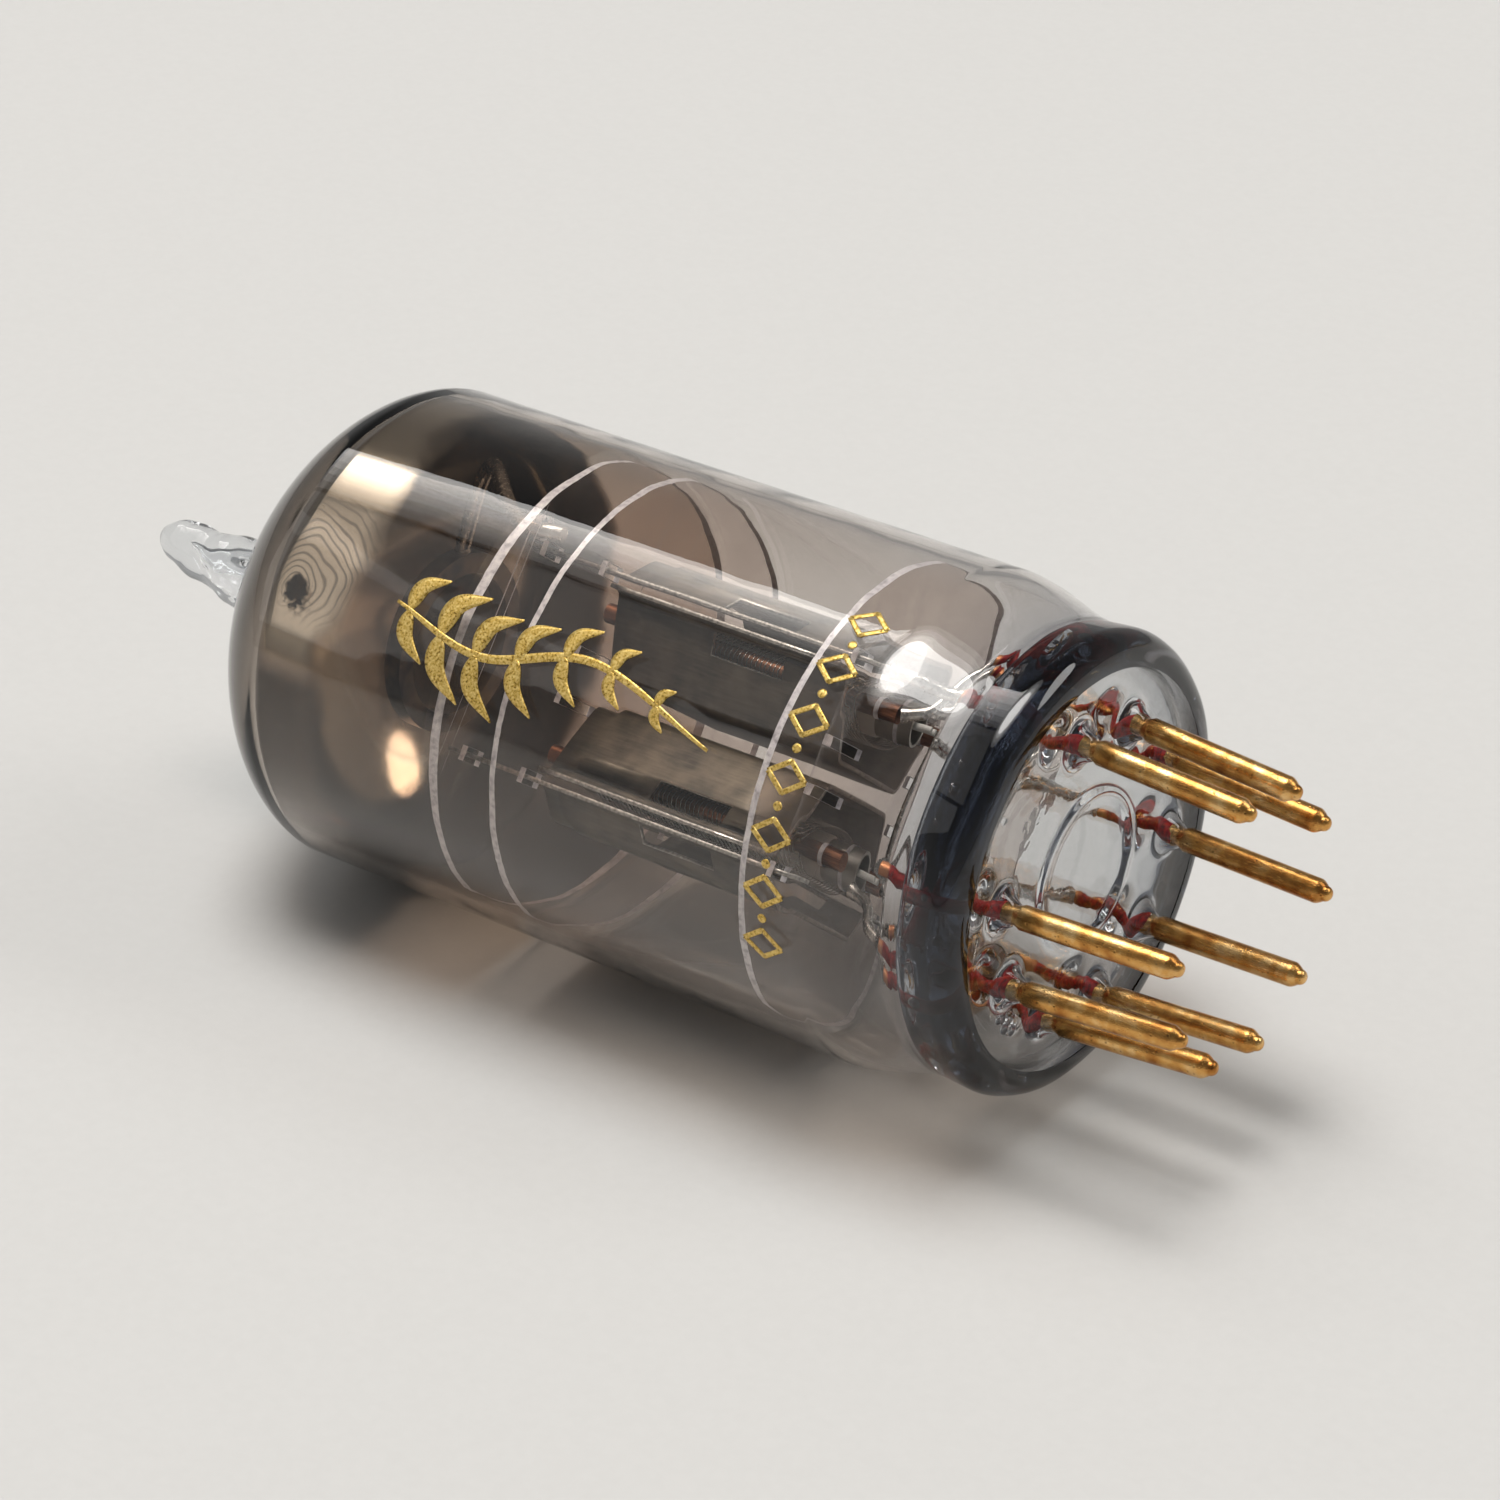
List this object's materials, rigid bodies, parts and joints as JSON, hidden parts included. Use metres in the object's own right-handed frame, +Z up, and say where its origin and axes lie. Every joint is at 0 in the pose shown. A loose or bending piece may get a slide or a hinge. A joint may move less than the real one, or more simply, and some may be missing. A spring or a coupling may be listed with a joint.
{
  "type": "vacuum tube",
  "caption": "Miniature glass vacuum tube: domed glass bulb, pressed glass base with gold-plated pins, two dark anodes between mica spacers, getter ring under a silvered dome.",
  "frame": {"origin": "centre of the flat outer face of the glass base (the seating face), on the tube's axis", "axes": "+X along the axis, out of the base towards the pin ends; -X towards the dome; +Z up, with the tube lying on its side as it does when it is put down"},
  "size_m": [0.056, 0.0206, 0.0206],
  "materials": {
    "smoked_glass": "clear soft glass with a faint smoky brown tint, polished, silvered inside the dome",
    "clear_glass": "clear flame-melted glass, glossy",
    "stem_glass": "clear pressed glass, blue-grey at the thick rolled rim, small bubbles",
    "gold_plate": "gold-plated wire, satin with fine draw lines and small pits",
    "seal_wire": "borated copper-clad seal wire, dark red in the glass",
    "nickel": "bright drawn nickel wire",
    "mica": "cleaved clear mica sheet, silky, frosted by the spray at the holes",
    "carbonised_nickel": "stamped nickel sheet with a matt dark grey carbon coat",
    "grid_rod": "copper-coloured grid side rod",
    "grid_wire": "fine bright molybdenum wire",
    "cathode_oxide": "white sprayed oxide on a nickel sleeve",
    "heater_alumina": "white alumina coat on the heater wire",
    "getter_steel": "blued nickel-steel ring and wire, heat-darkened"
  },
  "bodies": {
    "root": {"bulb": "smoked_glass", "exhaust_tip": "clear_glass", "button_stem": "stem_glass", "pin_1": "gold_plate", "pin_2": "gold_plate", "pin_3": "gold_plate", "pin_4": "gold_plate", "pin_5": "gold_plate", "pin_6": "gold_plate", "pin_7": "gold_plate", "pin_8": "gold_plate", "pin_9": "gold_plate", "seal_wire_1": "seal_wire", "seal_wire_2": "seal_wire", "seal_wire_3": "seal_wire", "seal_wire_4": "seal_wire", "seal_wire_5": "seal_wire", "seal_wire_6": "seal_wire", "seal_wire_7": "seal_wire", "seal_wire_8": "seal_wire", "seal_wire_9": "seal_wire", "lead_1": "nickel", "lead_2": "nickel", "lead_3": "nickel", "lead_4": "nickel", "lead_5": "nickel", "lead_6": "nickel", "lead_7": "nickel", "lead_8": "nickel", "lead_9": "nickel", "getter_mica": "mica", "upper_mica": "mica", "lower_mica": "mica", "anode_1_outer_half": "carbonised_nickel", "anode_1_inner_half": "carbonised_nickel", "grid_1_front_rod": "grid_rod", "grid_1_back_rod": "grid_rod", "grid_1_winding": "grid_wire", "cathode_1": "cathode_oxide", "heater_1": "heater_alumina", "anode_2_outer_half": "carbonised_nickel", "anode_2_inner_half": "carbonised_nickel", "grid_2_front_rod": "grid_rod", "grid_2_back_rod": "grid_rod", "grid_2_winding": "grid_wire", "cathode_2": "cathode_oxide", "heater_2": "heater_alumina", "heater_link": "nickel", "getter_ring": "getter_steel", "getter_support": "getter_steel"}
  },
  "joints": []
}
